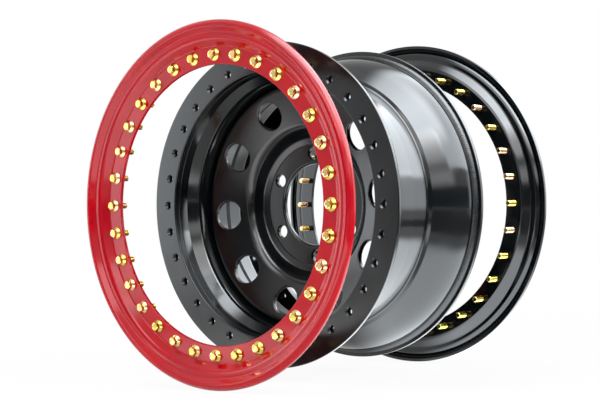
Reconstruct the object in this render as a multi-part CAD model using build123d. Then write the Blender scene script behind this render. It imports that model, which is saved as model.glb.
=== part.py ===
from build123d import *
import math
import os

# Beadlock wheel, opened up: a welded steel wheel with a bolt-on clamp ring drawn off each side.
# Millimetres. The axle lies along Y, the outboard side faces -Y and +Z is up.
# The origin is the centre of the hub bore at the face that meets the hub.

# Rim
RIM_WIDTH = 187.0
HUB_OFFSET = -6.5
BOLT_CIRCLE_R = 188.5
FLANGE_THICKNESS = 10.0
FLANGE_INSIDE_BOLTS = 13.5
FLANGE_OUTSIDE_BOLTS = 24.0

# Barrel
BARREL_WALL = 6.0
COLLAR_LENGTH = 16.0
FRONT_SLOPE_LENGTH = 22.0
WELL_DEPTH = 11.0
WELL_STEP_HEIGHT = 5.0
WELL_STEP_LENGTH = 3.0
REAR_SEAT_RISE = 22.0
REAR_SLOPE_LENGTH = 38.0
REAR_SEAT_LENGTH = 18.0
VALVE_HOLE_D = 11.5
VALVE_ANGLE = 30.0

# Centre disc
DISC_THICKNESS = 7.0
DISC_FIT_CLEARANCE = 0.1
SKIRT_LENGTH = 30.0
CONE_DEPTH = 17.0
RECESS_DEPTH = 19.0
PAD_RISE = 3.0
HUB_BORE_D = 110.0
BORE_LIP = 3.0
LUG_COUNT = 6
LUG_INSET = 14.85
LUG_HOLE_D = 16.0
LUG_SEAT_D = 18.5
LUG_SEAT_DEPTH = 2.5
LUG_PHASE = 30.0
PAD_MARGIN = 12.5
STEP_WIDTH = 8.5
WALL_WIDTH = 9.0
WINDOW_COUNT = 10
WINDOW_D = 38.0
WINDOW_PHASE = 4.3

# Clamp rings
RING_THICKNESS = 4.5
RING_INSIDE_BOLTS = 12.5
COLLAR_MARGIN = 1.0
RING_STEP_WIDTH = 10.0
RING_STEP_HEIGHT = 9.5
RING_SHELF_WIDTH = 7.5
LIP_RISE_WIDTH = 6.5
LIP_HEIGHT = 7.0
LIP_CREST_WIDTH = 4.0
LIP_BEVEL = 4.5
LIP_WALL_LENGTH = 5.5
FRONT_RING_GAP = 94.0
REAR_RING_GAP = 106.0

# Bolts
BOLT_COUNT = 32
BOLT_PHASE = 9.4
BOLT_D = 8.0
BOLT_LENGTH = 20.0
BOLT_HEAD_HEIGHT = 7.0
BOLT_HEAD_FLATS = 10.0
BOLT_COLLAR_D = 17.0
BOLT_COLLAR_HEIGHT = 1.5
BOLT_HOLE_CLEARANCE = 0.4
THREAD_CLEARANCE = 0.2

# Stroke of a punch through a sheet, in sheet thicknesses
PUNCH_STROKE = 4.0

# Worked-out radii and stations along the axle
FRONT_FACE = HUB_OFFSET - RIM_WIDTH / 2
REAR_FACE = HUB_OFFSET + RIM_WIDTH / 2
FLANGE_INNER_R = BOLT_CIRCLE_R - FLANGE_INSIDE_BOLTS
FLANGE_OUTER_R = BOLT_CIRCLE_R + FLANGE_OUTSIDE_BOLTS
BARREL_FRONT = FRONT_FACE + FLANGE_THICKNESS
BARREL_REAR = REAR_FACE - FLANGE_THICKNESS
COLLAR_R = FLANGE_INNER_R + BARREL_WALL
WELL_R = COLLAR_R - WELL_DEPTH
REAR_SEAT_R = COLLAR_R + REAR_SEAT_RISE
SLOPE_START = BARREL_FRONT + COLLAR_LENGTH
WELL_START = SLOPE_START + FRONT_SLOPE_LENGTH
REAR_SLOPE_END = BARREL_REAR - REAR_SEAT_LENGTH
REAR_SLOPE_START = REAR_SLOPE_END - REAR_SLOPE_LENGTH
WELL_END = REAR_SLOPE_START - WELL_STEP_LENGTH
HUB_BORE_R = HUB_BORE_D / 2
LUG_CIRCLE_R = HUB_BORE_R + LUG_INSET
PAD_R = LUG_CIRCLE_R + PAD_MARGIN
RECESS_R = PAD_R + STEP_WIDTH
CONE_INNER_R = RECESS_R + WALL_WIDTH
DISC_RIM_R = WELL_R - BARREL_WALL - DISC_FIT_CLEARANCE
WINDOW_CIRCLE_R = (CONE_INNER_R + DISC_RIM_R) / 2
PAD_FRONT = -DISC_THICKNESS
RECESS_FOOT = PAD_FRONT - PAD_RISE
CONE_INNER_Y = RECESS_FOOT - RECESS_DEPTH
CONE_OUTER_Y = CONE_INNER_Y - CONE_DEPTH


def on_circle(radius: float, angle: float, y: float) -> Location:
    """Place on a circle about the axle, with local Z along +Y and local X pointing outward."""
    turn = math.radians(angle)
    outward = Vector(math.cos(turn), 0, math.sin(turn))
    return Plane(Vector(0, y, 0) + outward * radius, x_dir=outward, z_dir=(0, 1, 0)).location


def pattern(count: int, radius: float, phase: float, y: float) -> list[Location]:
    """Evenly spaced places on a circle about the axle."""
    return [on_circle(radius, phase + 360 / count * i, y) for i in range(count)]


def pressed_sheet(points: list[tuple], thickness: float, side: Side) -> Part:
    """Turn a sheet's outline, radius by Y, into a solid of revolution about the axle."""
    outline = Polyline(*points)
    section = make_face(outline.offset_2d(thickness, kind=Kind.INTERSECTION, side=side).edges())
    return revolve(section, Axis.Y)


def on_axle(y: float) -> Location:
    """Place on the axle, with local Z along +Y."""
    return on_circle(0, 0, y)


def flange(face_y: float, inward: int) -> Part:
    """Flat tapped ring with its outer face at face_y, its thickness running inward along Y."""
    middle = face_y + inward * FLANGE_THICKNESS / 2
    ring = on_axle(middle) * Cylinder(FLANGE_OUTER_R, FLANGE_THICKNESS)
    ring -= on_axle(middle) * Cylinder(FLANGE_INNER_R, FLANGE_THICKNESS)
    hole = Cylinder(BOLT_D / 2 + THREAD_CLEARANCE, FLANGE_THICKNESS)
    return ring - [place * hole for place in pattern(BOLT_COUNT, BOLT_CIRCLE_R, BOLT_PHASE, middle)]


def rim_barrel() -> Part:
    """Rolled barrel: front collar, slope into the drop well, step, and slope up to the rear seat."""
    barrel = pressed_sheet(
        [
            (COLLAR_R, BARREL_FRONT),
            (COLLAR_R, SLOPE_START),
            (WELL_R, WELL_START),
            (WELL_R, WELL_END),
            (WELL_R + WELL_STEP_HEIGHT, REAR_SLOPE_START),
            (REAR_SEAT_R, REAR_SLOPE_END),
            (REAR_SEAT_R, BARREL_REAR),
        ],
        BARREL_WALL,
        Side.LEFT,
    )
    slope = math.atan2(WELL_DEPTH, FRONT_SLOPE_LENGTH)
    turn = math.radians(VALVE_ANGLE)
    middle_r = (COLLAR_R + WELL_R) / 2
    outward = Vector(math.cos(turn), 0, math.sin(turn))
    normal = outward * math.cos(slope) + Vector(0, math.sin(slope), 0)
    seat = Plane(outward * middle_r + Vector(0, (SLOPE_START + WELL_START) / 2, 0), z_dir=normal)
    return barrel - seat * Cylinder(VALVE_HOLE_D / 2, PUNCH_STROKE * BARREL_WALL)


def centre_disc() -> Part:
    """Pressed disc: skirt, windowed cone, deep recess, hub pad, lug holes and drawn bore."""
    disc = pressed_sheet(
        [
            (DISC_RIM_R, CONE_OUTER_Y + SKIRT_LENGTH),
            (DISC_RIM_R, CONE_OUTER_Y),
            (CONE_INNER_R, CONE_INNER_Y),
            (RECESS_R, RECESS_FOOT),
            (PAD_R, PAD_FRONT),
            (HUB_BORE_R, PAD_FRONT),
        ],
        DISC_THICKNESS,
        Side.RIGHT,
    )
    disc -= on_axle(PAD_FRONT + BORE_LIP / 2) * Cone(HUB_BORE_R + BORE_LIP, HUB_BORE_R, BORE_LIP)
    tilt = math.degrees(math.atan2(CONE_DEPTH, DISC_RIM_R - CONE_INNER_R))
    window_y = (CONE_INNER_Y + CONE_OUTER_Y + DISC_THICKNESS) / 2
    punch = Rot(Y=tilt) * Cylinder(WINDOW_D / 2, PUNCH_STROKE * DISC_THICKNESS)
    lug = Cylinder(LUG_HOLE_D / 2, DISC_THICKNESS)
    seat = Cone(LUG_SEAT_D / 2, LUG_HOLE_D / 2, LUG_SEAT_DEPTH)
    lug += Pos(Z=(LUG_SEAT_DEPTH - DISC_THICKNESS) / 2) * seat
    windows = pattern(WINDOW_COUNT, WINDOW_CIRCLE_R, WINDOW_PHASE, window_y)
    lugs = pattern(LUG_COUNT, LUG_CIRCLE_R, LUG_PHASE, PAD_FRONT / 2)
    return disc - [place * punch for place in windows] - [place * lug for place in lugs]


def clamp_ring() -> Part:
    """Front clamp ring about the axle, with the wheel side of its bolting face at Y = 0."""
    face = -RING_THICKNESS
    inner_r = BOLT_CIRCLE_R - RING_INSIDE_BOLTS
    step_r = BOLT_CIRCLE_R + BOLT_COLLAR_D / 2 + COLLAR_MARGIN
    shelf_r = step_r + RING_STEP_WIDTH
    rise_r = shelf_r + RING_SHELF_WIDTH
    crest_r = rise_r + LIP_RISE_WIDTH
    bevel_r = crest_r + LIP_CREST_WIDTH
    lip_r = bevel_r + LIP_BEVEL
    shelf_y = face - RING_STEP_HEIGHT
    crest_y = shelf_y - LIP_HEIGHT
    ring = pressed_sheet(
        [
            (inner_r, face),
            (step_r, face),
            (shelf_r, shelf_y),
            (rise_r, shelf_y),
            (crest_r, crest_y),
            (bevel_r, crest_y),
            (lip_r, crest_y + LIP_BEVEL),
            (lip_r, crest_y + LIP_BEVEL + LIP_WALL_LENGTH),
        ],
        RING_THICKNESS,
        Side.LEFT,
    )
    hole = Cylinder(BOLT_D / 2 + BOLT_HOLE_CLEARANCE, RING_THICKNESS)
    return ring - [place * hole for place in pattern(BOLT_COUNT, BOLT_CIRCLE_R, BOLT_PHASE, face / 2)]


def ring_bolts() -> Compound:
    """Hex collar bolts standing in the front clamp ring, heads on its outer face."""
    hexagon = RegularPolygon(BOLT_HEAD_FLATS / 2, 6, major_radius=False)
    shank = Pos(Z=BOLT_LENGTH / 2) * Cylinder(BOLT_D / 2, BOLT_LENGTH)
    collar = Pos(Z=-BOLT_COLLAR_HEIGHT / 2) * Cylinder(BOLT_COLLAR_D / 2, BOLT_COLLAR_HEIGHT)
    bolt = extrude(hexagon, -BOLT_HEAD_HEIGHT) + collar + shank
    places = pattern(BOLT_COUNT, BOLT_CIRCLE_R, BOLT_PHASE, -RING_THICKNESS)
    return Compound([place * bolt for place in places])


def drawn_off(piece: Compound, front: bool) -> Compound:
    """Place a clamp-ring piece off the front of the wheel, or turned end for end off its rear."""
    if front:
        return Pos(Y=FRONT_FACE - FRONT_RING_GAP) * piece
    return Pos(Y=REAR_FACE + REAR_RING_GAP) * piece.mirror(Plane.XZ)


nodes = {
    "rim_barrel": rim_barrel(),
    "centre_disc": centre_disc(),
    "front_flange": flange(FRONT_FACE, 1),
    "rear_flange": flange(REAR_FACE, -1),
    "front_clamp_ring": drawn_off(clamp_ring(), front=True),
    "front_ring_bolts": drawn_off(ring_bolts(), front=True),
    "rear_clamp_ring": drawn_off(clamp_ring(), front=False),
    "rear_ring_bolts": drawn_off(ring_bolts(), front=False),
}

os.makedirs("parts", exist_ok=True)
for name, shape in nodes.items():
    export_step(shape, f"parts/{name}.step")
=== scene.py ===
"""Beadlock wheel opened up along its axle: black wheel, red front clamp ring, black rear clamp ring.

Metres, with the axle along Y, the front towards -Y and +Z up. A point of a sheet's line is a radius and a
place along the axle.
"""

import logging
import math
from collections.abc import Iterable, Sequence
from dataclasses import dataclass, replace
from enum import Enum

import bmesh
import bpy
from mathutils import Matrix, Vector, noise


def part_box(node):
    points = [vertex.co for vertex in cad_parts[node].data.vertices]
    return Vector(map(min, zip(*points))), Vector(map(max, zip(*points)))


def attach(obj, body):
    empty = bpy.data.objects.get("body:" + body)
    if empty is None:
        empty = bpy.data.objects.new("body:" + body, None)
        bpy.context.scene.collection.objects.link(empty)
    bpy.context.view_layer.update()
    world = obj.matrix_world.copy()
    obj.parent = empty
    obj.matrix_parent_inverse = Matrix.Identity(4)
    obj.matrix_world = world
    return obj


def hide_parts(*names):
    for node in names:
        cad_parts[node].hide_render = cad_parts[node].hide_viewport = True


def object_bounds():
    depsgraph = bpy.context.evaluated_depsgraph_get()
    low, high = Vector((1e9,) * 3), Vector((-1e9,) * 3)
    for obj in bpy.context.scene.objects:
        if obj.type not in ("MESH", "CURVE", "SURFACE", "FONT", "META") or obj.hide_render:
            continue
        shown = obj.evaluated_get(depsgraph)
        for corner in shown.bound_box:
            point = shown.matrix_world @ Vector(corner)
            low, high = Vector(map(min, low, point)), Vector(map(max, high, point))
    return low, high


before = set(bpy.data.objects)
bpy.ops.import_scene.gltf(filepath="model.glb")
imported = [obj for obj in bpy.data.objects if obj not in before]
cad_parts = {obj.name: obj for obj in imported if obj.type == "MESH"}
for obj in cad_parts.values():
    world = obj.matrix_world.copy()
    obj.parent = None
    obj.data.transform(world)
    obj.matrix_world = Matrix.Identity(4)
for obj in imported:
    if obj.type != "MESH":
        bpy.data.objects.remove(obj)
CAD_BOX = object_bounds()
LOG = logging.getLogger("beadlock_wheel")

MM = 0.001
ARC_STEP = math.radians(10)
FEWEST_ARC_STEPS = 2
LONGEST_FACET = 4.0 * MM
# Gap between a bend and the row that holds its end.
HOLD = 0.35 * MM
# Points closer than this are merged.
WELD_DISTANCE = 0.002 * MM
SHARP_ANGLE = math.radians(38)
FULL_TURN = 2 * math.pi
HEX_SIDES = 6
# The first straight stretch of a flange's or clamp ring's line holds its bolts.
FACE_STRETCH = 0
# Rows round a hole, as shares of the way from its mouth to the edge of its cell.
CELL_ROWS = (1.0, 0.5, 0.15)
# Place across a lamp's front runs from 0 to 1.
LAMP_MIDDLE = 0.5
WHITE = (1.0, 1.0, 1.0, 1.0)
COOL = (0.88, 0.95, 1.0)
# Azimuth and elevation of a level panel, a hair off the vertical so that its sides stay in line.
UP = (180.0, 89.9)
DOWN = (180.0, -89.9)

Point = tuple[float, float]
Triple = tuple[float, float, float]
Colour = tuple[float, float, float, float]
Material = bpy.types.Material
Node = bpy.types.Node
NodeTree = bpy.types.NodeTree
Socket = bpy.types.NodeSocket


class Body(Enum):
    """Moving bodies that the pieces ride on."""

    WHEEL = "wheel"
    FRONT_RING = "front_ring"
    REAR_RING = "rear_ring"


class Slot(Enum):
    """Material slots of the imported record."""

    BLACK = "black_paint"
    RED = "red_paint"
    GOLD = "gold_zinc"


class Side(Enum):
    """Side of the wheel, with the way along the axle in which its outer face looks."""

    FRONT = -1
    REAR = 1


def turn_between(before: Point, here: Point, after: Point) -> float:
    """Give the angle by which a line turns at a corner.

    Args:
        before: Point before the corner.
        here: The corner.
        after: Point after the corner.

    Returns:
        The turn in radians, positive to the left.
    """
    inward = Vector(here) - Vector(before)
    outward = Vector(after) - Vector(here)
    return math.atan2(inward.x * outward.y - inward.y * outward.x, inward.dot(outward))


def rounded_line(corners: Sequence[Point], bends: Sequence[float]) -> list[Point]:
    """Round the inner corners of a line with tangent arcs.

    Args:
        corners: Points of the line, radius by place along the axle.
        bends: Bend radius at each corner; those of the two ends aren't used.

    Returns:
        The points of the rounded line, with a holding point beside each arc.
    """
    reaches = [0.0]
    for before, here, after, bend in zip(corners, corners[1:], corners[2:], bends[1:]):
        reaches.append(bend * math.tan(abs(turn_between(before, here, after)) / 2))
    reaches.append(0.0)
    line = [corners[0]]
    for index in range(1, len(corners) - 1):
        corner = Vector(corners[index])
        inward = corner - Vector(corners[index - 1])
        outward = Vector(corners[index + 1]) - corner
        reach = reaches[index]
        for run, other in ((inward, reaches[index - 1]), (outward, reaches[index + 1])):
            room = run.length - 2 * HOLD
            if reaches[index] + other > room:
                reach = min(reach, room * reaches[index] / (reaches[index] + other))
        if reach < WELD_DISTANCE:
            line.append(corners[index])
            continue
        inward.normalize()
        outward.normalize()
        turn = turn_between(*corners[index - 1 : index + 2])
        radius = reach / math.tan(abs(turn) / 2)
        left = Vector((-inward.y, inward.x))
        start = corner - inward * reach
        centre = start + left * math.copysign(radius, turn)
        by_angle = math.ceil(abs(turn) / ARC_STEP)
        by_length = math.ceil(abs(turn) * radius / LONGEST_FACET)
        steps = max(FEWEST_ARC_STEPS, by_angle, by_length)
        line.append(tuple(start - inward * HOLD))
        for step in range(steps + 1):
            swing = Matrix.Rotation(turn * step / steps, 2)
            line.append(tuple(centre + swing @ (start - centre)))
        line.append(tuple(corner + outward * (reach + HOLD)))
    line.append(corners[-1])
    return line


def offset_line(corners: Sequence[Point], gap: float) -> list[Point]:
    """Move a line sideways, keeping its corners sharp.

    Args:
        corners: Points of the line.
        gap: Distance to the left of the line's direction; negative is to the right.

    Returns:
        The corners of the moved line.
    """
    lefts = []
    for here, after in zip(corners, corners[1:]):
        along = (Vector(after) - Vector(here)).normalized()
        lefts.append(Vector((-along.y, along.x)))
    moved = []
    for here, left, right in zip(corners, lefts[:1] + lefts, lefts + lefts[-1:]):
        moved.append(tuple(Vector(here) + (left + right) * gap / (1 + left.dot(right))))
    return moved


def signed_turns(corners: Sequence[Point]) -> list[float]:
    """Give the turn at each corner of a line, positive to the left and 0 at its ends."""
    turns = [turn_between(*three) for three in zip(corners, corners[1:], corners[2:])]
    return [0.0, *turns, 0.0]


def round_axle(radius: float, y: float, angle: float) -> Vector:
    """Give the point at a radius and angle about the axle."""
    return Vector((radius * math.cos(angle), y, radius * math.sin(angle)))


def add_object(name: str, data: bpy.types.ID) -> bpy.types.Object:
    """Put an object in the scene.

    Args:
        name: Its name.
        data: Its mesh, lamp or camera.

    Returns:
        The new object.
    """
    made = bpy.data.objects.new(name, data)
    bpy.context.scene.collection.objects.link(made)
    return made


class Skin:
    """Mesh in the making, built up from rows of points that are joined by faces."""

    def __init__(self) -> None:
        """Start an empty mesh."""
        self.mesh = bmesh.new()

    def row(self, points: Iterable[Vector]) -> list[bmesh.types.BMVert]:
        """Add a row of points."""
        return [self.mesh.verts.new(point) for point in points]

    def join(self, first: list, second: list, closed: bool = True) -> None:
        """Fill the gap between two rows of as many points with quads.

        Args:
            first: One row.
            second: The next row.
            closed: Whether the rows run all the way round.
        """
        count = len(first)
        for index in range(count if closed else count - 1):
            after = (index + 1) % count
            self.mesh.faces.new((first[index], first[after], second[after], second[index]))

    def chain(self, rows: Sequence[list], closed: bool = True) -> None:
        """Join each row to the next."""
        for first, second in zip(rows, rows[1:]):
            self.join(first, second, closed)

    def cap(self, row: list, tip: Vector) -> None:
        """Close a row with a fan of triangles.

        Args:
            row: Row that runs all the way round.
            tip: Point where the triangles meet.
        """
        point = self.mesh.verts.new(tip)
        for index, vert in enumerate(row):
            self.mesh.faces.new((vert, row[(index + 1) % len(row)], point))

    def piece(self, name: str, material: Material) -> bpy.types.Object:
        """Finish the mesh as an object of the scene.

        Args:
            name: Name of the piece.
            material: Finish of the whole piece.

        Returns:
            The new object, smooth but for its sharp edges.
        """
        bmesh.ops.remove_doubles(self.mesh, verts=self.mesh.verts, dist=WELD_DISTANCE)
        bmesh.ops.dissolve_degenerate(self.mesh, edges=self.mesh.edges, dist=WELD_DISTANCE)
        bmesh.ops.recalc_face_normals(self.mesh, faces=self.mesh.faces)
        for face in self.mesh.faces:
            face.smooth = True
        for edge in self.mesh.edges:
            edge.smooth = edge.calc_face_angle(0.0) < SHARP_ANGLE
        data = bpy.data.meshes.new(name)
        self.mesh.to_mesh(data)
        self.mesh.free()
        data.materials.append(material)
        LOG.info("%s: %d faces", name, len(data.polygons))
        return add_object(name, data)


def flat_panel(name: str, width: float, height: float, place: Matrix, finish: Material) -> bpy.types.Object:
    """Make a flat rectangle.

    Args:
        name: Name of the object.
        width: Size along its local X.
        height: Size along its local Y.
        place: Place of its middle.
        finish: Its material.

    Returns:
        The new object.
    """
    skin = Skin()
    rows = []
    for y in (-height / 2, height / 2):
        rows.append(skin.row(place @ Vector((x, y, 0)) for x in (-width / 2, width / 2)))
    skin.chain(rows, closed=False)
    return skin.piece(name, finish)


def settle(piece: bpy.types.Object, body: Body, slot: Slot, *nodes: str) -> None:
    """Ride a piece on its body and let it stand for CAD nodes.

    Args:
        piece: The finished piece.
        body: Body that carries it.
        slot: Material slot of the record; not used.
        *nodes: CAD nodes that it stands for, if any.
    """
    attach(piece, body.value)
    if nodes:
        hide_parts(*nodes)


def eased_wall(radius: float, depth: float, edge: float, steps: int = 3) -> list[Point]:
    """Give the wall of a punched hole whose two edges are eased.

    Args:
        radius: Radius of the hole.
        depth: Thickness of the sheet.
        edge: Radius of the eased edges.
        steps: Steps of each eased edge.

    Returns:
        Hole radius by depth below the front, from front to back.
    """
    lip = []
    for step in range(steps + 1):
        angle = math.pi / 2 * step / steps
        lip.append((radius + edge * (1 - math.sin(angle)), edge * (1 - math.cos(angle))))
    return lip + [(reach, depth - below) for reach, below in reversed(lip)]


@dataclass(frozen=True)
class Holes:
    """Evenly pitched holes through one straight stretch of a sheet."""

    cells: int
    phase: float
    circle_r: float
    inner_r: float
    outer_r: float
    wall: list[Point]
    every: int = 1
    side_steps: int = 8

    def start(self) -> float:
        """Angle at which the first cell begins."""
        return math.radians(self.phase) - math.pi / self.cells


@dataclass
class Sheet:
    """Sheet turned about the axle, from the line of its front, its thickness and its holes."""

    corners: list[Point]
    bends: list[float]
    thickness: float
    steps: int
    edge: float
    holes: dict[int, Holes]
    end_bend: float | None = None
    back_end_bend: float | None = None

    def skin(self) -> Skin:
        """Build the closed skin of the whole sheet.

        Returns:
            The mesh in the making.
        """
        skin = Skin()
        front = list(zip(self.corners, [self.edge, *self.bends, self.end_bend or self.edge]))
        back_corners = offset_line(self.corners, self.thickness)
        back_bends = [
            max(bend - math.copysign(self.thickness, turn * self.thickness), self.edge)
            for bend, turn in zip(self.bends, signed_turns(self.corners)[1:-1])
        ]
        back = list(zip(back_corners, [self.edge, *back_bends, self.back_end_bend or self.edge]))
        fronts, backs, patterns = self.cut_at_holes(front, back)
        first = patterns[0].start()
        last = patterns[-1].start()
        self.turn_line(skin, [*reversed(backs[0]), *fronts[0]], first, first)
        self.turn_line(skin, [*fronts[-1], *reversed(backs[-1])], last, last)
        for stretch in range(1, len(patterns)):
            near = patterns[stretch - 1].start()
            far = patterns[stretch].start()
            self.turn_line(skin, fronts[stretch], near, far)
            self.turn_line(skin, backs[stretch], near, far)
        for segment in self.holes:
            self.punch(skin, segment)
        return skin

    def cut_at_holes(self, front: list, back: list) -> tuple[list, list, list[Holes]]:
        """Cut the two lines at the stretches that hold holes.

        Args:
            front: Corners of the front line with their bends.
            back: Corners of the back line with their bends.

        Returns:
            The stretches of the front line, those of the back line, and the patterns between them.
        """
        fronts = []
        backs = []
        patterns = []
        front_start = []
        back_start = []
        begin = 0
        for segment in sorted(self.holes):
            pattern = self.holes[segment]
            patterns.append(pattern)
            near_r, far_r = pattern.inner_r, pattern.outer_r
            if self.corners[segment][0] > self.corners[segment + 1][0]:
                near_r, far_r = far_r, near_r
            near = self.across(segment, near_r)
            far = self.across(segment, far_r)
            fronts.append([*front_start, *front[begin : segment + 1], (near[0], 0.0)])
            backs.append([*back_start, *back[begin : segment + 1], (near[1], 0.0)])
            front_start = [(far[0], 0.0)]
            back_start = [(far[1], 0.0)]
            begin = segment + 1
        fronts.append([*front_start, *front[begin:]])
        backs.append([*back_start, *back[begin:]])
        return fronts, backs, patterns

    def across(self, segment: int, radius: float) -> tuple[Point, Point]:
        """Give a point of the front and the one behind it on one straight stretch.

        Args:
            segment: Number of the stretch.
            radius: Radius of the point of the front.

        Returns:
            The point of the front and that of the back.
        """
        first = Vector(self.corners[segment])
        along = Vector(self.corners[segment + 1]) - first
        spot = first + along * (radius - first.x) / along.x
        along.normalize()
        return tuple(spot), tuple(spot + Vector((-along.y, along.x)) * self.thickness)

    def turn_line(self, skin: Skin, run: list, first_turn: float, last_turn: float) -> None:
        """Turn a line about the axle.

        Args:
            skin: Mesh to add to.
            run: Corners of the line with their bends.
            first_turn: Angle of the first row's first point.
            last_turn: Angle of the last row's first point, taken to the nearest whole step.
        """
        line = rounded_line([corner for corner, bend in run], [bend for corner, bend in run])
        step = FULL_TURN / self.steps
        twist = (last_turn - first_turn + step / 2) % step - step / 2
        rows = []
        for index, (radius, y) in enumerate(line):
            start = first_turn + twist * index / (len(line) - 1)
            rows.append(skin.row(round_axle(radius, y, start + step * i) for i in range(self.steps)))
        skin.chain(rows)

    def punch(self, skin: Skin, segment: int) -> None:
        """Fill one stretch of the sheet, front and back, with its holes left open.

        Args:
            skin: Mesh to add to.
            segment: Number of the straight stretch.
        """
        pattern = self.holes[segment]
        along = Vector(self.corners[segment + 1]) - Vector(self.corners[segment])
        lean = abs(along.normalized().x)
        for cell in range(pattern.cells):
            centre = math.radians(pattern.phase) + FULL_TURN / pattern.cells * cell
            if cell % pattern.every:
                self.plain_cell(skin, segment, centre)
            else:
                self.holed_cell(skin, segment, centre, lean)

    def spot(self, segment: int, radius: float, angle: float, depth: float) -> Vector:
        """Give a point on or in one straight stretch.

        Args:
            segment: Number of the stretch.
            radius: Radius where the point would meet the front.
            angle: Angle about the axle.
            depth: Depth below the front.

        Returns:
            The point.
        """
        front, back = self.across(segment, radius)
        share = depth / abs(self.thickness)
        return round_axle(
            front[0] + (back[0] - front[0]) * share, front[1] + (back[1] - front[1]) * share, angle
        )

    def plain_cell(self, skin: Skin, segment: int, centre: float) -> None:
        """Fill one cell that has no hole, front and back.

        Args:
            skin: Mesh to add to.
            segment: Number of the straight stretch.
            centre: Angle of the cell's middle.
        """
        pattern = self.holes[segment]
        arc = self.steps // pattern.cells
        pitch = FULL_TURN / self.steps
        for depth in (0.0, abs(self.thickness)):
            rows = []
            for side in range(pattern.side_steps + 1):
                share = side / pattern.side_steps
                radius = pattern.inner_r + (pattern.outer_r - pattern.inner_r) * share
                angles = [centre + pitch * (i - arc / 2) for i in range(arc + 1)]
                rows.append(skin.row(self.spot(segment, radius, angle, depth) for angle in angles))
            skin.chain(rows, closed=False)

    def holed_cell(self, skin: Skin, segment: int, centre: float, lean: float) -> None:
        """Fill one cell around its hole, with the hole's wall.

        Args:
            skin: Mesh to add to.
            segment: Number of the straight stretch.
            centre: Angle of the hole.
            lean: Cosine of the stretch's slope, 1 for a flat one.
        """
        pattern = self.holes[segment]
        middle = pattern.circle_r / lean
        frame_points = []
        for radius, turn in self.cell_frame(pattern):
            flat = Vector((math.cos(turn * lean), math.sin(turn * lean))) * radius / lean
            frame_points.append(flat - Vector((middle, 0)))

        def loop(reach: float, depth: float, share: float) -> list[bmesh.types.BMVert]:
            """Add one row round the hole.

            Args:
                reach: Radius of the row at share 0.
                depth: Depth below the front.
                share: How far the row is moved out to the edge of the cell.

            Returns:
                The points of the row.
            """
            points = []
            for outer in frame_points:
                flat = (outer.normalized() * reach).lerp(outer, share) + Vector((middle, 0))
                angle = centre + math.atan2(flat.y, flat.x) / lean
                points.append(self.spot(segment, flat.length * lean, angle, depth))
            return skin.row(points)

        deep = abs(self.thickness)
        mouth = pattern.wall[0][0]
        exit_reach = pattern.wall[-1][0]
        rows = [loop(mouth, 0.0, share) for share in CELL_ROWS]
        rows.append(loop(mouth + HOLD, 0.0, 0.0))
        rows += [loop(reach, depth, 0.0) for reach, depth in pattern.wall]
        rows.append(loop(exit_reach + HOLD, deep, 0.0))
        rows += [loop(exit_reach, deep, share) for share in reversed(CELL_ROWS)]
        skin.chain(rows)

    def cell_frame(self, pattern: Holes) -> list[Point]:
        """Give the edge of one cell.

        Args:
            pattern: Holes that the cell belongs to.

        Returns:
            Radius by angle from the cell's middle, once round.
        """
        arc = self.steps // pattern.cells
        half = math.pi / pattern.cells
        turns = [half * (2 * i / arc - 1) for i in range(arc)]
        span = pattern.outer_r - pattern.inner_r
        falls = [span * i / pattern.side_steps for i in range(pattern.side_steps)]
        edge = [(pattern.outer_r, turn) for turn in turns]
        edge += [(pattern.outer_r - fall, half) for fall in falls]
        edge += [(pattern.inner_r, -turn) for turn in turns]
        edge += [(pattern.inner_r + fall, -half) for fall in falls]
        return edge


def start_tree(owner: Material | bpy.types.World | bpy.types.Light, kind: str) -> tuple[NodeTree, Socket]:
    """Give a material, world or lamp a new node tree.

    Args:
        owner: What the tree belongs to.
        kind: Kind of its output node.

    Returns:
        The tree and the surface socket of its output.
    """
    owner.use_nodes = True
    owner.node_tree.nodes.clear()
    output = owner.node_tree.nodes.new(kind)
    return owner.node_tree, output.inputs["Surface"]


def noise_node(tree: NodeTree, scale: float, detail: float) -> Node:
    """Add a noise texture in the piece's own coordinates.

    Args:
        tree: Tree to add to.
        scale: Waves per metre.
        detail: Octaves of finer noise.

    Returns:
        The noise node.
    """
    place = tree.nodes.new("ShaderNodeTexCoord")
    grain = tree.nodes.new("ShaderNodeTexNoise")
    grain.inputs["Scale"].default_value = scale
    grain.inputs["Detail"].default_value = detail
    tree.links.new(place.outputs["Object"], grain.inputs["Vector"])
    return grain


def range_node(
    tree: NodeTree, value: Socket, low: float, high: float, ends: Point = (0.0, 1.0)
) -> Socket:
    """Map a value smoothly from one range to another.

    Args:
        tree: Tree to add to.
        value: Socket to map.
        low: Input that gives the first end.
        high: Input that gives the last end.
        ends: First and last end of the result.

    Returns:
        The mapped value's socket.
    """
    node = tree.nodes.new("ShaderNodeMapRange")
    node.interpolation_type = "SMOOTHSTEP"
    node.inputs["From Min"].default_value = low
    node.inputs["From Max"].default_value = high
    node.inputs["To Min"].default_value = ends[0]
    node.inputs["To Max"].default_value = ends[1]
    tree.links.new(value, node.inputs["Value"])
    return node.outputs["Result"]


def math_node(tree: NodeTree, operation: str, *terms: Socket | float) -> Socket:
    """Add a math node.

    Args:
        tree: Tree to add to.
        operation: Name of what it does.
        *terms: Its inputs in order, each a socket or a plain number.

    Returns:
        The result's socket.
    """
    node = tree.nodes.new("ShaderNodeMath")
    node.operation = operation
    for term, socket in zip(terms, node.inputs):
        if isinstance(term, float):
            socket.default_value = term
        else:
            tree.links.new(term, socket)
    return node.outputs["Value"]


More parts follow.
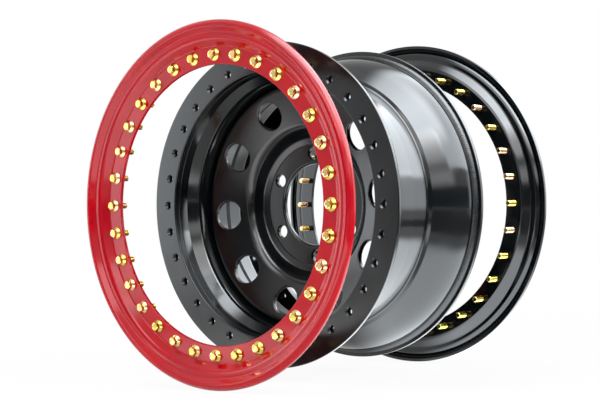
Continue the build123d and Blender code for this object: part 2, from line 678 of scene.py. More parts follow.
def mix_node(tree: NodeTree, share: Socket, first: Colour, second: Colour) -> Socket:
    """Mix two colours by a share that changes over the surface.

    Args:
        tree: Tree to add to.
        share: Socket of the second colour's share.
        first: Colour at 0.
        second: Colour at 1.

    Returns:
        The mixed colour's socket.
    """
    node = tree.nodes.new("ShaderNodeMix")
    node.data_type = "RGBA"
    colour_a, colour_b = [socket for socket in node.inputs if socket.type == "RGBA"]
    colour_a.default_value = first
    colour_b.default_value = second
    tree.links.new(share, node.inputs["Factor"])
    return [socket for socket in node.outputs if socket.type == "RGBA"][0]


class SprayedSkin:
    """Shared effect: the fine waves of a sprayed or plated coat, and faint hazy patches on it."""

    NAME = "sprayed_skin"
    PEEL_SCALE = 260.0
    PEEL_DETAIL = 2.0
    HAZE_SCALE = 14.0
    HAZE_DETAIL = 5.0
    HAZE_EDGES = (0.38, 0.68)

    def __init__(self) -> None:
        """Build the node group once."""
        tree = bpy.data.node_groups.new(self.NAME, "ShaderNodeTree")
        scale = tree.interface.new_socket("Peel Scale", in_out="INPUT", socket_type="NodeSocketFloat")
        scale.default_value = self.PEEL_SCALE
        tree.interface.new_socket("Height", in_out="OUTPUT", socket_type="NodeSocketFloat")
        tree.interface.new_socket("Haze", in_out="OUTPUT", socket_type="NodeSocketFloat")
        given = tree.nodes.new("NodeGroupInput")
        result = tree.nodes.new("NodeGroupOutput")
        peel = noise_node(tree, self.PEEL_SCALE, self.PEEL_DETAIL)
        tree.links.new(given.outputs["Peel Scale"], peel.inputs["Scale"])
        tree.links.new(peel.outputs["Fac"], result.inputs["Height"])
        patches = noise_node(tree, self.HAZE_SCALE, self.HAZE_DETAIL)
        haze = range_node(tree, patches.outputs["Fac"], *self.HAZE_EDGES)
        tree.links.new(haze, result.inputs["Haze"])
        self.tree = tree

    def place(self, tree: NodeTree, peel_scale: float) -> Node:
        """Place the group in a material.

        Args:
            tree: The material's node tree.
            peel_scale: Waves per metre of the coat's skin.

        Returns:
            The group node, with outputs Height and Haze.
        """
        node = tree.nodes.new("ShaderNodeGroup")
        node.node_tree = self.tree
        node.inputs["Peel Scale"].default_value = peel_scale
        return node


def coated_material(
    name: str, coat: SprayedSkin, peel_scale: float, peel_depth: float, roughness: Point
) -> tuple[Material, Node, Node]:
    """Start a material: a Principled shader under the skin of a sprayed or plated coat.

    Args:
        name: Name of the material.
        coat: Shared skin of a coat.
        peel_scale: Waves per metre of the skin.
        peel_depth: Depth of its waves.
        roughness: Roughness where the coat is clear and where it is hazy.

    Returns:
        The material, its shader and the node of its coat.
    """
    material = bpy.data.materials.new(name)
    tree, surface = start_tree(material, "ShaderNodeOutputMaterial")
    shader = tree.nodes.new("ShaderNodeBsdfPrincipled")
    bump = tree.nodes.new("ShaderNodeBump")
    skin = coat.place(tree, peel_scale)
    bump.inputs["Strength"].default_value = 1.0
    bump.inputs["Distance"].default_value = peel_depth
    tree.links.new(skin.outputs["Height"], bump.inputs["Height"])
    tree.links.new(bump.outputs["Normal"], shader.inputs["Normal"])
    rough = range_node(tree, skin.outputs["Haze"], 0.0, 1.0, roughness)
    tree.links.new(rough, shader.inputs["Roughness"])
    tree.links.new(shader.outputs["BSDF"], surface)
    return material, shader, skin


@dataclass(frozen=True)
class PaintFinish:
    """Paint sprayed on steel."""

    name: str
    colour: Colour
    hazy_colour: Colour
    roughness: Point
    ior: float
    peel_scale: float
    peel_depth: float

    def material(self, coat: SprayedSkin) -> Material:
        """Make the paint.

        Args:
            coat: Shared skin of a sprayed coat.

        Returns:
            The new material.
        """
        material, shader, skin = coated_material(
            self.name, coat, self.peel_scale, self.peel_depth, self.roughness
        )
        tree = material.node_tree
        tint = mix_node(tree, skin.outputs["Haze"], self.colour, self.hazy_colour)
        tree.links.new(tint, shader.inputs["Base Color"])
        shader.inputs["IOR"].default_value = self.ior
        return material


@dataclass(frozen=True)
class ZincFinish:
    """Passivated zinc plate, whose tint changes from bolt to bolt and over each bolt."""

    name: str
    straw: Colour
    rose: Colour
    green: Colour
    roughness: Point
    peel_scale: float
    peel_depth: float
    patch_scale: float = 170.0
    patch_detail: float = 3.0
    drift: float = 0.35
    stops: tuple[float, ...] = (0.35, 0.5, 0.7, 0.85)

    def material(self, coat: SprayedSkin) -> Material:
        """Make the plating.

        Args:
            coat: Shared skin of a coat.

        Returns:
            The new material.
        """
        material, shader = coated_material(
            self.name, coat, self.peel_scale, self.peel_depth, self.roughness
        )[:2]
        tree = material.node_tree
        island = tree.nodes.new("ShaderNodeNewGeometry")
        patches = noise_node(tree, self.patch_scale, self.patch_detail)
        by_bolt = island.outputs["Random Per Island"]
        drift = math_node(tree, "MULTIPLY_ADD", patches.outputs["Fac"], self.drift, by_bolt)
        spread = range_node(tree, drift, self.drift / 2, 1 + self.drift / 2)
        tints = tree.nodes.new("ShaderNodeValToRGB")
        ramp = tints.color_ramp.elements
        ramp[0].color = self.straw
        ramp[1].color = self.rose
        for stop, colour in zip(self.stops, (self.straw, self.rose, self.green, self.straw)):
            ramp.new(stop).color = colour
        tree.links.new(spread, tints.inputs["Fac"])
        tree.links.new(tints.outputs["Color"], shader.inputs["Base Color"])
        shader.inputs["Metallic"].default_value = 1.0
        return material


BLACK_GLOSS = PaintFinish(
    name="black_gloss_paint",
    colour=(0.0022, 0.0036, 0.0048, 1.0),
    hazy_colour=(0.0038, 0.0056, 0.0070, 1.0),
    roughness=(0.10, 0.17),
    ior=1.5,
    peel_scale=160.0,
    peel_depth=0.005 * MM,
)
BLACK_SATIN = replace(BLACK_GLOSS, name="black_satin_paint", roughness=(0.16, 0.23))
BLACK_WELD = PaintFinish(
    name="black_painted_weld",
    colour=(0.006, 0.006, 0.007, 1.0),
    hazy_colour=(0.014, 0.014, 0.016, 1.0),
    roughness=(0.22, 0.38),
    ior=1.5,
    peel_scale=900.0,
    peel_depth=0.12 * MM,
)
BLACK_DULL = replace(
    BLACK_WELD,
    name="black_dull_weld",
    colour=(0.003, 0.003, 0.004, 1.0),
    hazy_colour=(0.008, 0.008, 0.009, 1.0),
    roughness=(0.60, 0.80),
    ior=1.3,
)
RED_GLOSS = PaintFinish(
    name="red_gloss_paint",
    colour=(0.53, 0.0005, 0.009, 1.0),
    hazy_colour=(0.46, 0.0005, 0.011, 1.0),
    roughness=(0.10, 0.17),
    ior=1.38,
    peel_scale=160.0,
    peel_depth=0.006 * MM,
)
GOLD_ZINC = ZincFinish(
    name="gold_zinc_plate",
    straw=(0.66, 0.48, 0.11, 1.0),
    rose=(0.72, 0.46, 0.29, 1.0),
    green=(0.54, 0.52, 0.11, 1.0),
    roughness=(0.14, 0.25),
    peel_scale=1500.0,
    peel_depth=0.006 * MM,
)


@dataclass(frozen=True)
class BoltCircle:
    """Places of the bolts, the same for the flanges and the clamp rings."""

    count: int = 32
    phase: float = 9.4
    radius: float = 188.5 * MM

    def holes(self, inner_r: float, outer_r: float, wall: list[Point], side_steps: int = 8) -> Holes:
        """Give the holes for the bolts in a flat stretch of sheet.

        Args:
            inner_r: Inner radius of the cells round the holes.
            outer_r: Outer radius of the cells.
            wall: Hole radius by depth below the front.
            side_steps: Steps along a side of a cell.

        Returns:
            The holes.
        """
        return Holes(
            cells=self.count,
            phase=self.phase,
            circle_r=self.radius,
            inner_r=inner_r,
            outer_r=outer_r,
            wall=wall,
            side_steps=side_steps,
        )

    def angle(self, number: int) -> float:
        """Angle of one bolt about the axle."""
        return math.radians(self.phase) + FULL_TURN / self.count * number


BOLTS = BoltCircle()


@dataclass
class Flange:
    """Flat tapped ring welded to one end of the barrel."""

    side: Side
    inner_r: float = 175.0 * MM
    hole_r: float = 4.1 * MM
    countersink: float = 1.8 * MM
    thread_pitch: float = 1.25 * MM
    thread_depth: float = 0.4 * MM
    edge: float = 1.3 * MM
    rim_edge: float = 0.8 * MM
    rim_bend: float = 7.5 * MM
    border: float = 5.2 * MM
    rim_border: float = 9.0 * MM
    steps: int = 320

    def tapped_wall(self, depth: float) -> list[Point]:
        """Give the wall of a tapped hole: countersink, thread grooves and a smaller countersink.

        Args:
            depth: Thickness of the ring.

        Returns:
            Hole radius by depth below the outer face.
        """
        wall = [(self.hole_r + self.countersink, 0.0)]
        below = self.countersink
        while below < depth - self.countersink:
            wall.append((self.hole_r, below))
            wall.append((self.hole_r + self.thread_depth, below + self.thread_pitch / 2))
            below += self.thread_pitch
        wall.append((self.hole_r, depth - self.countersink / 2))
        wall.append((self.hole_r + self.countersink / 2, depth))
        return wall

    def build(self, paint: Material) -> None:
        """Build the ring in the place of its CAD node.

        Args:
            paint: Finish of the ring.
        """
        node = f"{self.side.name.lower()}_flange"
        low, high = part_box(node)
        outer_r = high[0]
        depth = high[1] - low[1]
        wall = self.tapped_wall(depth)
        if self.side is Side.REAR:
            wall = [(reach, depth - below) for reach, below in reversed(wall)]
        holes = BOLTS.holes(self.inner_r + self.border, outer_r - self.rim_border, wall)
        sheet = Sheet(
            corners=[(self.inner_r, low[1]), (outer_r, low[1])],
            bends=[],
            thickness=depth,
            steps=self.steps,
            edge=self.edge,
            holes={FACE_STRETCH: holes},
            end_bend=self.rim_edge,
            back_end_bend=self.rim_bend,
        )
        settle(sheet.skin().piece(f"{node}_body", paint), Body.WHEEL, Slot.BLACK, node)


@dataclass
class Barrel:
    """Rolled barrel between the two flanges, with the valve hole in its front slope."""

    wall: float = 6.0 * MM
    collar_r: float = 181.0 * MM
    collar_length: float = 16.0 * MM
    slope_length: float = 14.0 * MM
    well_r: float = 170.0 * MM
    step_height: float = 5.0 * MM
    step_length: float = 3.0 * MM
    rear_length: float = 56.0 * MM
    rear_slope_length: float = 33.0 * MM
    well_crown: float = 0.4 * MM
    crown_length: float = 28.0 * MM
    slope_bend: float = 5.5 * MM
    soft_bend: float = 11.0 * MM
    step_bend: float = 2.5 * MM
    seat_bend: float = 60.0 * MM
    edge: float = 0.6 * MM
    valve_hole_r: float = 5.75 * MM
    valve_angle: float = 30.0
    valve_cells: int = 20
    valve_border: float = 1.4 * MM
    slope_stretch: int = 1
    steps: int = 320

    def build(self, paint: Material) -> None:
        """Build the barrel in the place of its CAD node.

        Args:
            paint: Finish of the barrel.
        """
        low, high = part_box("rim_barrel")
        seat_r = high[0]
        slope_start = low[1] + self.collar_length
        well_start = slope_start + self.slope_length
        rear_slope_start = high[1] - self.rear_length
        step_start = rear_slope_start - self.step_length
        corners = [
            (self.collar_r, low[1]),
            (self.collar_r, slope_start),
            (self.well_r, well_start),
            (self.well_r - self.well_crown, step_start - self.crown_length),
            (self.well_r, step_start),
            (self.well_r + self.step_height, rear_slope_start),
            (seat_r, rear_slope_start + self.rear_slope_length),
            (seat_r, high[1]),
        ]
        bends = [
            self.slope_bend,
            self.slope_bend,
            self.soft_bend,
            self.step_bend,
            self.step_bend,
            self.seat_bend,
        ]
        valve = Holes(
            cells=self.valve_cells,
            every=self.valve_cells,
            phase=self.valve_angle,
            circle_r=(self.collar_r + self.well_r) / 2,
            inner_r=self.well_r + self.valve_border,
            outer_r=self.collar_r - self.valve_border,
            wall=eased_wall(self.valve_hole_r, self.wall, self.edge),
        )
        sheet = Sheet(corners, bends, self.wall, self.steps, self.edge, {self.slope_stretch: valve})
        settle(sheet.skin().piece("rim_barrel_body", paint), Body.WHEEL, Slot.BLACK, "rim_barrel")


@dataclass
class CentreDisc:
    """Pressed disc: skirt, windowed cone, recess, hub pad with lug holes, and drawn bore."""

    thickness: float = 7.0 * MM
    bore_r: float = 55.0 * MM
    lug_circle_r: float = 69.85 * MM
    pad_r: float = 82.35 * MM
    recess_r: float = 90.85 * MM
    cone_inner_r: float = 99.85 * MM
    pad_rise: float = 3.0 * MM
    recess_depth: float = 19.0 * MM
    skirt_length: float = 30.0 * MM
    rim_bend: float = 12.0 * MM
    dome_bend: float = 18.0 * MM
    foot_bend: float = 4.0 * MM
    pad_bend: float = 6.0 * MM
    edge: float = 0.8 * MM
    window_count: int = 10
    window_phase: float = 4.3
    window_r: float = 19.0 * MM
    window_edge: float = 1.6 * MM
    window_reach: float = 22.5 * MM
    window_side_steps: int = 14
    lug_count: int = 6
    lug_cells: int = 12
    lug_phase: float = 30.0
    lug_hole_r: float = 8.0 * MM
    lug_seat_r: float = 9.25 * MM
    lug_seat_depth: float = 2.5 * MM
    lug_reach: float = 10.5 * MM
    bore_lip: float = 3.0 * MM
    cone_stretch: int = 1
    pad_stretch: int = 4
    steps: int = 300

    def lug_wall(self) -> list[Point]:
        """Give the wall of a lug hole: conical seat, plain bore and eased back edge.

        Returns:
            Hole radius by depth below the front.
        """
        plain = eased_wall(self.lug_hole_r, self.thickness, self.edge)
        back = [(reach, below) for reach, below in plain if below > self.thickness / 2]
        return [(self.lug_seat_r, 0.0), (self.lug_hole_r, self.lug_seat_depth), *back]

    def build(self, paint: Material) -> None:
        """Build the disc in the place of its CAD node.

        Args:
            paint: Finish of the disc.
        """
        low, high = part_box("centre_disc")
        rim_r = high[0]
        pad_y = high[1] - self.thickness
        foot_y = pad_y - self.pad_rise
        corners = [
            (rim_r, low[1] + self.skirt_length),
            (rim_r, low[1]),
            (self.cone_inner_r, foot_y - self.recess_depth),
            (self.recess_r, foot_y),
            (self.pad_r, pad_y),
            (self.bore_r, pad_y),
        ]
        bends = [self.rim_bend, self.dome_bend, self.foot_bend, self.pad_bend]
        window_circle_r = (self.cone_inner_r + rim_r) / 2
        windows = Holes(
            cells=self.window_count,
            phase=self.window_phase,
            circle_r=window_circle_r,
            inner_r=window_circle_r - self.window_reach,
            outer_r=window_circle_r + self.window_reach,
            wall=eased_wall(self.window_r, self.thickness, self.window_edge),
            side_steps=self.window_side_steps,
        )
        lugs = Holes(
            cells=self.lug_cells,
            every=self.lug_cells // self.lug_count,
            phase=self.lug_phase,
            circle_r=self.lug_circle_r,
            inner_r=self.lug_circle_r - self.lug_reach,
            outer_r=self.lug_circle_r + self.lug_reach,
            wall=self.lug_wall(),
        )
        holes = {self.cone_stretch: windows, self.pad_stretch: lugs}
        sheet = Sheet(corners, bends, -self.thickness, self.steps, self.edge, holes, self.bore_lip)
        settle(sheet.skin().piece("centre_disc_body", paint), Body.WHEEL, Slot.BLACK, "centre_disc")


@dataclass
class ClampRing:
    """Pressed clamp ring: bolting face, step, shelf and rolled lip."""

    side: Side
    body: Body
    slot: Slot
    thickness: float = 4.5 * MM
    hole_r: float = 4.4 * MM
    inner_r: float = 176.0 * MM
    face_r: float = 198.0 * MM
    shelf_r: float = 208.0 * MM
    rise_r: float = 215.5 * MM
    crest_r: float = 222.0 * MM
    bevel_r: float = 226.0 * MM
    bevel: float = 4.5 * MM
    step_height: float = 9.5 * MM
    lip_wall: float = 5.5 * MM
    face_bend: float = 3.5 * MM
    shelf_bend: float = 8.5 * MM
    rise_bend: float = 2.5 * MM
    crest_bend: float = 4.5 * MM
    roll_bend: float = 6.0 * MM
    edge: float = 0.7 * MM
    face_border: float = 2.6 * MM
    edge_border: float = 1.4 * MM
    cell_side_steps: int = 6
    steps: int = 320

    def name(self, what: str) -> str:
        """Name one of this ring's CAD nodes."""
        return f"{self.side.name.lower()}_{what}"

    def seat_y(self) -> float:
        """Place along the axle of the bolting face's wheel side."""
        low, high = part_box(self.name("clamp_ring"))
        return high[1] if self.side is Side.FRONT else low[1]

    def build(self, paint: Material) -> None:
        """Build the pressed ring in the place of its CAD node.

        Args:
            paint: Finish of the ring.
        """
        low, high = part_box(self.name("clamp_ring"))
        lip_r = high[0]
        out = self.side.value
        face_y = self.seat_y() + out * self.thickness
        shelf_y = face_y + out * self.step_height
        crest_y = self.seat_y() + out * (high[1] - low[1])
        corners = [
            (self.inner_r, face_y),
            (self.face_r, face_y),
            (self.shelf_r, shelf_y),
            (self.rise_r, shelf_y),
            (self.crest_r, crest_y),
            (self.bevel_r, crest_y),
            (lip_r, crest_y - out * self.bevel),
            (lip_r, crest_y - out * (self.bevel + self.lip_wall)),
        ]
        bends = [
            self.face_bend,
            self.shelf_bend,
            self.rise_bend,
            self.crest_bend,
            self.roll_bend,
            self.roll_bend,
        ]
        holes = BOLTS.holes(
            self.inner_r + self.edge_border,
            self.face_r - self.face_border,
            eased_wall(self.hole_r, self.thickness, self.edge / 2),
            self.cell_side_steps,
        )
        sheet = Sheet(corners, bends, -out * self.thickness, self.steps, self.edge, {FACE_STRETCH: holes})
        node = self.name("clamp_ring")
        settle(sheet.skin().piece(f"{node}_body", paint), self.body, self.slot, node)


@dataclass
class RingBolts:
    """Hex collar bolts of one clamp ring, in one piece with an island for each bolt."""

    ring: ClampRing
    shank_r: float = 3.95 * MM
    root_r: float = 3.3 * MM
    pitch: float = 1.25 * MM
    thread_shares: Triple = (0.0, 0.22, 0.61)
    spare_turns: int = 2
    plain_share: float = 0.6
    collar_r: float = 8.4 * MM
    collar_height: float = 1.1 * MM
    collar_slope: float = 1.2 * MM
    collar_taper: float = 0.25
    collar_ease: float = 0.3 * MM
    collar_foot: float = 0.25 * MM
    flats: float = 9.8 * MM
    crown_share: float = 0.96
    dish: float = 0.5 * MM
    dish_shares: Triple = (0.62, 0.70, 0.78)
    chamfer: float = math.radians(28)
    tip_chamfer: float = 1.0 * MM
    spin_step: float = 2.4
    steps: int = 24

    def hex_reach(self, angle: float) -> float:
        """Give the distance from the axis to the hexagon's outline at an angle."""
        sector = FULL_TURN / HEX_SIDES
        return self.flats / 2 / math.cos((angle % sector) - sector / 2)

    def head_rows(self, height: float) -> list[list[Vector]]:
        """Give the rows of the head from its top to the ring's face.

        Args:
            height: Height of the head over the ring's face.

        Returns:
            Rows of points about local Z, which points out of the ring.
        """
        crown_r = self.flats / 2 * self.crown_share
        taper = self.collar_r * self.collar_taper
        floor = height - self.dish
        shares = (*self.dish_shares, 1.0)
        rows = [self.circle(crown_r * share, z) for share, z in zip(shares, (floor, floor, height, height))]
        shoulder = []
        foot = []
        for angle in self.angles():
            reach = self.hex_reach(angle)
            drop = (reach - crown_r) * math.tan(self.chamfer)
            shoulder.append(Vector((reach * math.cos(angle), reach * math.sin(angle), height - drop)))
            rise = self.collar_height + self.collar_slope * (self.collar_r - reach) / taper
            foot.append(Vector((reach * math.cos(angle), reach * math.sin(angle), rise)))
        rows += [shoulder, foot]
        rows.append(self.circle(self.collar_r - self.collar_ease, self.collar_height))
        rows.append(self.circle(self.collar_r, self.collar_height - self.collar_ease))
        rows.append(self.circle(self.collar_r, self.collar_foot))
        rows.append(self.circle(self.collar_r - self.collar_foot, 0.0))
        rows.append(self.circle(self.shank_r, 0.0))
        return rows

    def angles(self) -> list[float]:
        """Give the angles of one row."""
        return [FULL_TURN / self.steps * i for i in range(self.steps)]

    def circle(self, radius: float, z: float) -> list[Vector]:
        """Give a round row."""
        return [Vector((radius * math.cos(a), radius * math.sin(a), z)) for a in self.angles()]

    def thread_point(self, row: int, index: int, start: float, length: float) -> Vector:
        """Give one point of the helical thread.

        Args:
            row: Row number, three to a pitch: crest edge, crest edge, root.
            index: Place round the row.
            start: Depth below the ring's face at which the thread begins.
            length: Length of the thread.

        Returns:
            The point about local Z, held to the thread's two ends.
        """
        turn, phase = divmod(row, len(self.thread_shares))
        depth = (turn - 1 + self.thread_shares[phase] + index / self.steps) * self.pitch
        in_root = phase == len(self.thread_shares) - 1
        radius = self.root_r if in_root and 0 < depth < length else self.shank_r
        depth = min(max(depth, 0.0), length)
        left = length - depth
        radius = min(radius, self.shank_r - max(0.0, self.tip_chamfer - left))
        angle = FULL_TURN * index / self.steps
        return Vector((radius * math.cos(angle), radius * math.sin(angle), -start - depth))

    def add_bolt(self, skin: Skin, seat: Matrix, height: float, length: float) -> None:
        """Add one bolt.

        Args:
            skin: Mesh to add to.
            seat: Place of the bolt, local Z out of the ring, origin on the ring's face.
            height: Height of the head.
            length: Length of the shank.
        """
        rows = [skin.row(seat @ point for point in row) for row in self.head_rows(height)]
        skin.cap(rows[0], seat @ Vector((0, 0, height - self.dish)))
        plain = self.ring.thickness * self.plain_share
        thread = length - plain
        rows.append(skin.row(seat @ point for point in self.circle(self.shank_r, -plain)))
        skin.chain(rows)
        rows_a_turn = len(self.thread_shares)
        count = rows_a_turn * (math.ceil(thread / self.pitch) + self.spare_turns)
        grid = []
        for row in range(count):
            points = [self.thread_point(row, i, plain, thread) for i in range(self.steps)]
            grid.append(skin.row(seat @ point for point in points))
        for row in range(count - 1):
            for index in range(self.steps):
                after = index + 1
                lift = 0
                if after == self.steps:
                    after, lift = 0, rows_a_turn
                if row + 1 + lift < count:
                    quad = (
                        grid[row][index],
                        grid[row + lift][after],
                        grid[row + 1 + lift][after],
                        grid[row + 1][index],
                    )
                    skin.mesh.faces.new(quad)
        tip = [seat @ point for point in self.circle(self.shank_r - self.tip_chamfer, -length)]
        skin.cap(skin.row(tip), seat @ Vector((0, 0, -length)))

    def build(self, plating: Material) -> None:
        """Build the bolts in the place of their CAD node.

        Args:
            plating: Finish of the bolts.
        """
        node = self.ring.name("ring_bolts")
        low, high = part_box(node)
        out = self.ring.side.value
        face_y = self.ring.seat_y() + out * self.ring.thickness
        top_y = low[1] if out < 0 else high[1]
        tip_y = high[1] if out < 0 else low[1]
        skin = Skin()
        for number in range(BOLTS.count):
            angle = BOLTS.angle(number)
            spin = Matrix.Rotation(number * self.spin_step, 4, "Z")
            axis = Vector((0, out, 0))
            outward = Vector((math.cos(angle), 0, math.sin(angle)))
            across = axis.cross(outward)
            place = Matrix((outward, across, axis)).transposed().to_4x4()
            place.translation = outward * BOLTS.radius + Vector((0, face_y, 0))
            self.add_bolt(skin, place @ spin, abs(top_y - face_y), abs(tip_y - face_y))
        settle(skin.piece(f"{node}_set", plating), self.ring.body, Slot.GOLD, node)


@dataclass
class WeldBead:
    """Fillet weld that runs once round the axle."""

    name: str
    root: Point
    legs: Point
    pitch: float = 2.6 * MM
    ripple: float = 0.12 * MM
    ripple_lag: float = 3.0
    bulge: float = 0.12
    sway: float = 0.15
    sway_scale: float = 40.0
    rows: int = 7
    steps_per_ripple: int = 4

    def build(self, paint: Material) -> None:
        """Build the bead: a rippled surface between its two toes, closed at the root.

        Args:
            paint: Finish of the bead.
        """
        root = Vector(self.root)
        toes = (root + Vector((self.legs[0], 0)), root + Vector((0, self.legs[1])))
        face = toes[1] - toes[0]
        outward = Vector((face.y, -face.x)).normalized()
        if outward.dot(toes[0] - root) < 0:
            outward = -outward
        ripples = round(FULL_TURN * self.root[0] / self.pitch)
        steps = ripples * self.steps_per_ripple
        skin = Skin()
        rows = [[] for row in range(self.rows)]
        base = []
        for step in range(steps):
            angle = FULL_TURN * step / steps
            place = Vector((math.cos(angle), math.sin(angle), 0)) * self.sway_scale
            drift = noise.noise(place) * self.sway
            for row in range(self.rows):
                share = row / (self.rows - 1)
                crown = math.sin(math.pi * share)
                wave = math.cos(ripples * angle + self.ripple_lag * crown)
                lift = crown * (face.length * self.bulge * (1 + drift) + self.ripple * wave)
                spot = toes[0] + face * share + outward * lift
                rows[row].append(round_axle(spot.x, spot.y, angle))
            base.append(round_axle(root.x, root.y, angle))
        rings = [skin.row(row) for row in rows]
        rings.append(skin.row(base))
        skin.chain([*rings, rings[0]])
        settle(skin.piece(self.name, paint), Body.WHEEL, Slot.BLACK)


@dataclass
class Welds:
    """Weld beads that hold the flanges and the disc to the barrel."""

    leg: float = 5.0 * MM
    front_leg: float = 3.0 * MM
    skirt_legs: Point = (6.4 * MM, 14.0 * MM)

    def build(self, barrel: Barrel, disc: CentreDisc, paint: Material, dull: Material) -> None:
        """Build a bead at each joint.

        Args:
            barrel: Barrel that all of them lie on.
            disc: Disc whose skirt is welded inside the barrel.
            paint: Finish of the beads at the flanges.
            dull: Darker, duller and less glossy finish of the bead inside the barrel.
        """
        low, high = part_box("rim_barrel")
        skirt_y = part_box("centre_disc")[0][1] + disc.skirt_length
        inside_r = barrel.well_r - barrel.wall
        skirt_legs = (-self.skirt_legs[0], self.skirt_legs[1])
        WeldBead("front_flange_weld", (barrel.collar_r, low[1]), (self.front_leg, self.leg)).build(paint)
        WeldBead("rear_flange_weld", (high[0], high[1]), (self.leg, -self.leg)).build(paint)
        WeldBead("disc_skirt_weld", (inside_r, skirt_y), skirt_legs).build(dull)


def direction(azimuth: float, elevation: float) -> Vector:
    """Give the direction from the wheel at an azimuth and elevation in degrees.

    Args:
        azimuth: Angle from the wheel's front, towards +X.
        elevation: Angle above the floor's level.

    Returns:
        A vector of length 1.
    """
    turn = math.radians(azimuth)
    rise = math.radians(elevation)
    return Vector((math.sin(turn) * math.cos(rise), -math.cos(turn) * math.cos(rise), math.sin(rise)))


def grey(level: float) -> Colour:
    """Give an even grey."""
    return (level, level, level, 1.0)


@dataclass(frozen=True)
class Panel:
    """Flat studio panel that looks at a point, placed by its direction and distance from there."""

    name: str
    azimuth: float
    elevation: float
    distance: float
    width: float
    height: float
    aim: Triple = (0.0, 0.0, 0.0)

    def place(self) -> Matrix:
        """Give the panel's place.

        Returns:
            The matrix, with its local -Z looking at the aim.
        """
        spot = direction(self.azimuth, self.elevation) * self.distance
        matrix = (-spot).to_track_quat("-Z", "Y").to_matrix().to_4x4()
        matrix.translation = Vector(self.aim) + spot
        return matrix


class LampUse(Enum):
    """What a lamp adds to: everything, only the gloss, or only the matt colour under it."""

    ALL = "all"
    GLOSS = "gloss"
    MATT = "matt"


@dataclass(frozen=True)
class SoftBox(Panel):
    """Lamp with a soft front."""

    radiance: float = 1.0
    use: LampUse = LampUse.ALL
    tint: Triple = (1.0, 1.0, 1.0)
    soft: float = 0.2

    def fade_edges(self, data: bpy.types.Light) -> None:
        """Let the lamp's light fade out towards its edges.

        Args:
            data: The lamp, whose nodes are replaced.
        """
        tree, surface = start_tree(data, "ShaderNodeOutputLight")
        glow = tree.nodes.new("ShaderNodeEmission")
        place = tree.nodes.new("ShaderNodeNewGeometry")
        parts = tree.nodes.new("ShaderNodeSeparateXYZ")
        tree.links.new(place.outputs["Parametric"], parts.inputs["Vector"])
        levels = []
        for axis in "XY":
            inward = math_node(tree, "PINGPONG", parts.outputs[axis], LAMP_MIDDLE)
            levels.append(range_node(tree, inward, 0.0, self.soft))
        tree.links.new(math_node(tree, "MULTIPLY", *levels), glow.inputs["Strength"])
        tree.links.new(glow.outputs["Emission"], surface)

    def build(self) -> None:
        """Add the lamp."""
        data = bpy.data.lights.new(self.name, "AREA")
        data.shape = "RECTANGLE"
        data.size = self.width
        data.size_y = self.height
        data.color = self.tint
        data.energy = self.radiance * math.pi * self.width * self.height
        self.fade_edges(data)
        lamp = add_object(self.name, data)
        lamp.matrix_world = self.place()
        lamp.visible_camera = False
        lamp.visible_diffuse = self.use is not LampUse.GLOSS
        lamp.visible_glossy = self.use is not LampUse.MATT


@dataclass(frozen=True)
class Flag(Panel):
    """Dark card that shows only in the gloss of the paint."""

    def build(self, felt: Material) -> None:
        """Add the card.

        Args:
            felt: Finish of the card.
        """
        card = flat_panel(self.name, self.width, self.height, self.place(), felt)
        card.visible_camera = False
        card.visible_diffuse = False
        card.visible_shadow = False


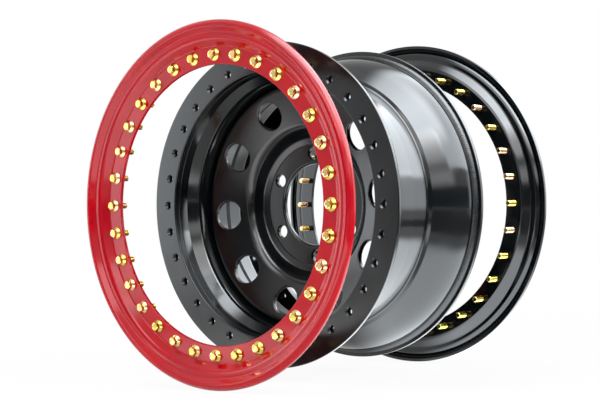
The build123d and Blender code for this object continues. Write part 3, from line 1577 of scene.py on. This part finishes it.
@dataclass
class Studio:
    """Camera, lamps, cards, world and floor."""

    lens: float = 83.952
    azimuth: float = 41.0234
    elevation: float = -1.3948
    roll: float = -1.7993
    eye: Triple = (1.22655, -1.44686, -0.04009)
    floor_size: float = 40.0
    floor_white: float = 0.95
    floor_glow: Point = (0.93, 1.0)
    floor_glow_reach: Point = (0.5, 1.8)
    ambient: float = 0.25
    card_grey: float = 0.2
    # Azimuth, elevation, distance, width and height of each panel, then where it looks.
    lamps: tuple[SoftBox, ...] = (
        SoftBox("left_soft_box", -62.0, 2.0, 2.6, 2.0, 2.1, radiance=2.7, tint=COOL),
        SoftBox("front_soft_box", -4.0, 38.0, 2.8, 1.9, 1.1, radiance=5.0),
        SoftBox("left_fill", -70.0, 60.0, 2.6, 2.0, 1.6, radiance=5.0, use=LampUse.MATT),
        SoftBox("right_key", 98.0, 24.0, 2.5, 2.6, 2.6, radiance=4.6, use=LampUse.MATT),
        SoftBox("camera_soft_box", 46.0, 37.0, 3.0, 3.0, 1.5, radiance=5.0, use=LampUse.GLOSS),
        SoftBox("right_soft_box", 68.0, 15.0, 2.7, 2.6, 0.7, radiance=2.6, use=LampUse.GLOSS, soft=0.4),
        SoftBox("overhead_box", *UP, 1.5, 4.5, 6.2, (1.9, 2.0, 0.0), 7.5, LampUse.GLOSS, COOL, 0.08),
        SoftBox("top_soft_box", *UP, 1.5, 2.6, 2.0, (1.0, -0.25, 0.0), 9.5, LampUse.GLOSS, COOL, 0.4),
        SoftBox("back_soft_box", 150.0, 6.0, 2.6, 3.1, 1.2, radiance=2.3, use=LampUse.GLOSS, tint=COOL),
        SoftBox("right_floor_box", *DOWN, 0.228, 0.5, 0.66, (0.24, 0.14, 0.0), 4.5, LampUse.GLOSS, COOL),
        SoftBox("front_floor_box", *DOWN, 0.226, 1.6, 0.8, (0.0, -0.75, 0.0), 2.5, LampUse.GLOSS),
    )
    flags: tuple[Flag, ...] = (
        Flag("front_flag", -10.0, 5.0, 2.9, 2.4, 1.2),
        Flag("camera_flag", 40.0, 0.0, 3.2, 2.4, 1.2),
        Flag("right_flag", 92.0, -3.0, 2.9, 3.7, 1.2),
        Flag("left_flag", -106.0, -2.0, 2.9, 2.2, 1.2),
        Flag("floor_flag", *DOWN, 0.222, 1.5, 2.2, (1.35, -0.2, 0.0)),
    )

    def place_camera(self) -> None:
        """Place the camera where the photograph was taken from."""
        data = bpy.data.cameras.new("photo_camera")
        data.lens = self.lens
        camera = add_object("photo_camera", data)
        back = direction(self.azimuth, self.elevation)
        turn = math.radians(self.azimuth)
        roll = math.radians(self.roll)
        right = Vector((math.cos(turn), math.sin(turn), 0))
        up = back.cross(right)
        turned_right = right * math.cos(roll) + up * math.sin(roll)
        turned_up = up * math.cos(roll) - right * math.sin(roll)
        matrix = Matrix((turned_right, turned_up, back)).transposed().to_4x4()
        matrix.translation = Vector(self.eye)
        camera.matrix_world = matrix
        bpy.context.scene.camera = camera

    def white_to_view(self, tree: NodeTree) -> Socket:
        """Give a mask of the rays that see the white background: camera, glossy and transmission.

        Args:
            tree: Tree to add to.

        Returns:
            The mask's socket.
        """
        path = tree.nodes.new("ShaderNodeLightPath")
        seen = path.outputs["Is Camera Ray"]
        for ray in ("Is Glossy Ray", "Is Transmission Ray"):
            seen = math_node(tree, "MAXIMUM", seen, path.outputs[ray])
        return seen

    def make_world(self) -> None:
        """Make a world that is white to view and lights the object softly."""
        world = bpy.data.worlds.new("white_studio")
        tree, surface = start_tree(world, "ShaderNodeOutputWorld")
        mix = tree.nodes.new("ShaderNodeMixShader")
        tree.links.new(self.white_to_view(tree), mix.inputs["Fac"])
        for socket, strength in ((mix.inputs[1], self.ambient), (mix.inputs[2], 1.0)):
            light = tree.nodes.new("ShaderNodeBackground")
            light.inputs["Color"].default_value = WHITE
            light.inputs["Strength"].default_value = strength
            tree.links.new(light.outputs["Background"], socket)
        tree.links.new(mix.outputs["Shader"], surface)
        bpy.context.scene.world = world

    def make_floor(self) -> None:
        """Make a pale floor under the rings that keeps a faint shadow and turns plain white far off."""
        material = bpy.data.materials.new("pale_floor")
        tree, surface = start_tree(material, "ShaderNodeOutputMaterial")
        matt = tree.nodes.new("ShaderNodeBsdfDiffuse")
        matt.inputs["Color"].default_value = grey(self.floor_white)
        glow = tree.nodes.new("ShaderNodeEmission")
        mix = tree.nodes.new("ShaderNodeMixShader")
        spot = tree.nodes.new("ShaderNodeTexCoord")
        reach = tree.nodes.new("ShaderNodeVectorMath")
        reach.operation = "LENGTH"
        tree.links.new(spot.outputs["Object"], reach.inputs[0])
        far = range_node(tree, reach.outputs["Value"], *self.floor_glow_reach, self.floor_glow)
        share = math_node(tree, "MULTIPLY", self.white_to_view(tree), far)
        tree.links.new(share, mix.inputs["Fac"])
        tree.links.new(matt.outputs["BSDF"], mix.inputs[1])
        tree.links.new(glow.outputs["Emission"], mix.inputs[2])
        tree.links.new(mix.outputs["Shader"], surface)
        place = Matrix.Translation((0, 0, CAD_BOX[0][2]))
        floor = flat_panel("studio_floor", self.floor_size, self.floor_size, place, material)

    def make_felt(self) -> Material:
        """Make the matt grey of the cards.

        Returns:
            The new material.
        """
        material = bpy.data.materials.new("grey_felt")
        material.use_nodes = True
        shader = material.node_tree.nodes["Principled BSDF"]
        shader.inputs["Base Color"].default_value = grey(self.card_grey)
        shader.inputs["Roughness"].default_value = 1.0
        shader.inputs["Specular IOR Level"].default_value = 0.0
        return material

    def build(self) -> None:
        """Set the whole studio up."""
        self.place_camera()
        self.make_world()
        self.make_floor()
        for lamp in self.lamps:
            lamp.build()
        felt = self.make_felt()
        for flag in self.flags:
            flag.build(felt)
        bpy.context.scene.view_settings.view_transform = "Standard"


def main() -> None:
    """Build and dress every piece, then set up the studio."""
    logging.basicConfig(level=logging.INFO, format="%(name)s %(message)s")
    coat = SprayedSkin()
    black = BLACK_GLOSS.material(coat)
    satin = BLACK_SATIN.material(coat)
    rough_black = BLACK_WELD.material(coat)
    dull_black = BLACK_DULL.material(coat)
    red = RED_GLOSS.material(coat)
    gold = GOLD_ZINC.material(coat)
    barrel = Barrel()
    barrel.build(black)
    disc = CentreDisc()
    disc.build(satin)
    Flange(Side.FRONT).build(satin)
    Flange(Side.REAR).build(satin)
    Welds().build(barrel, disc, rough_black, dull_black)
    front_ring = ClampRing(Side.FRONT, Body.FRONT_RING, Slot.RED)
    front_ring.build(red)
    RingBolts(front_ring).build(gold)
    rear_ring = ClampRing(Side.REAR, Body.REAR_RING, Slot.BLACK)
    rear_ring.build(black)
    RingBolts(rear_ring).build(gold)
    Studio().build()


if __name__ == "__main__":
    main()
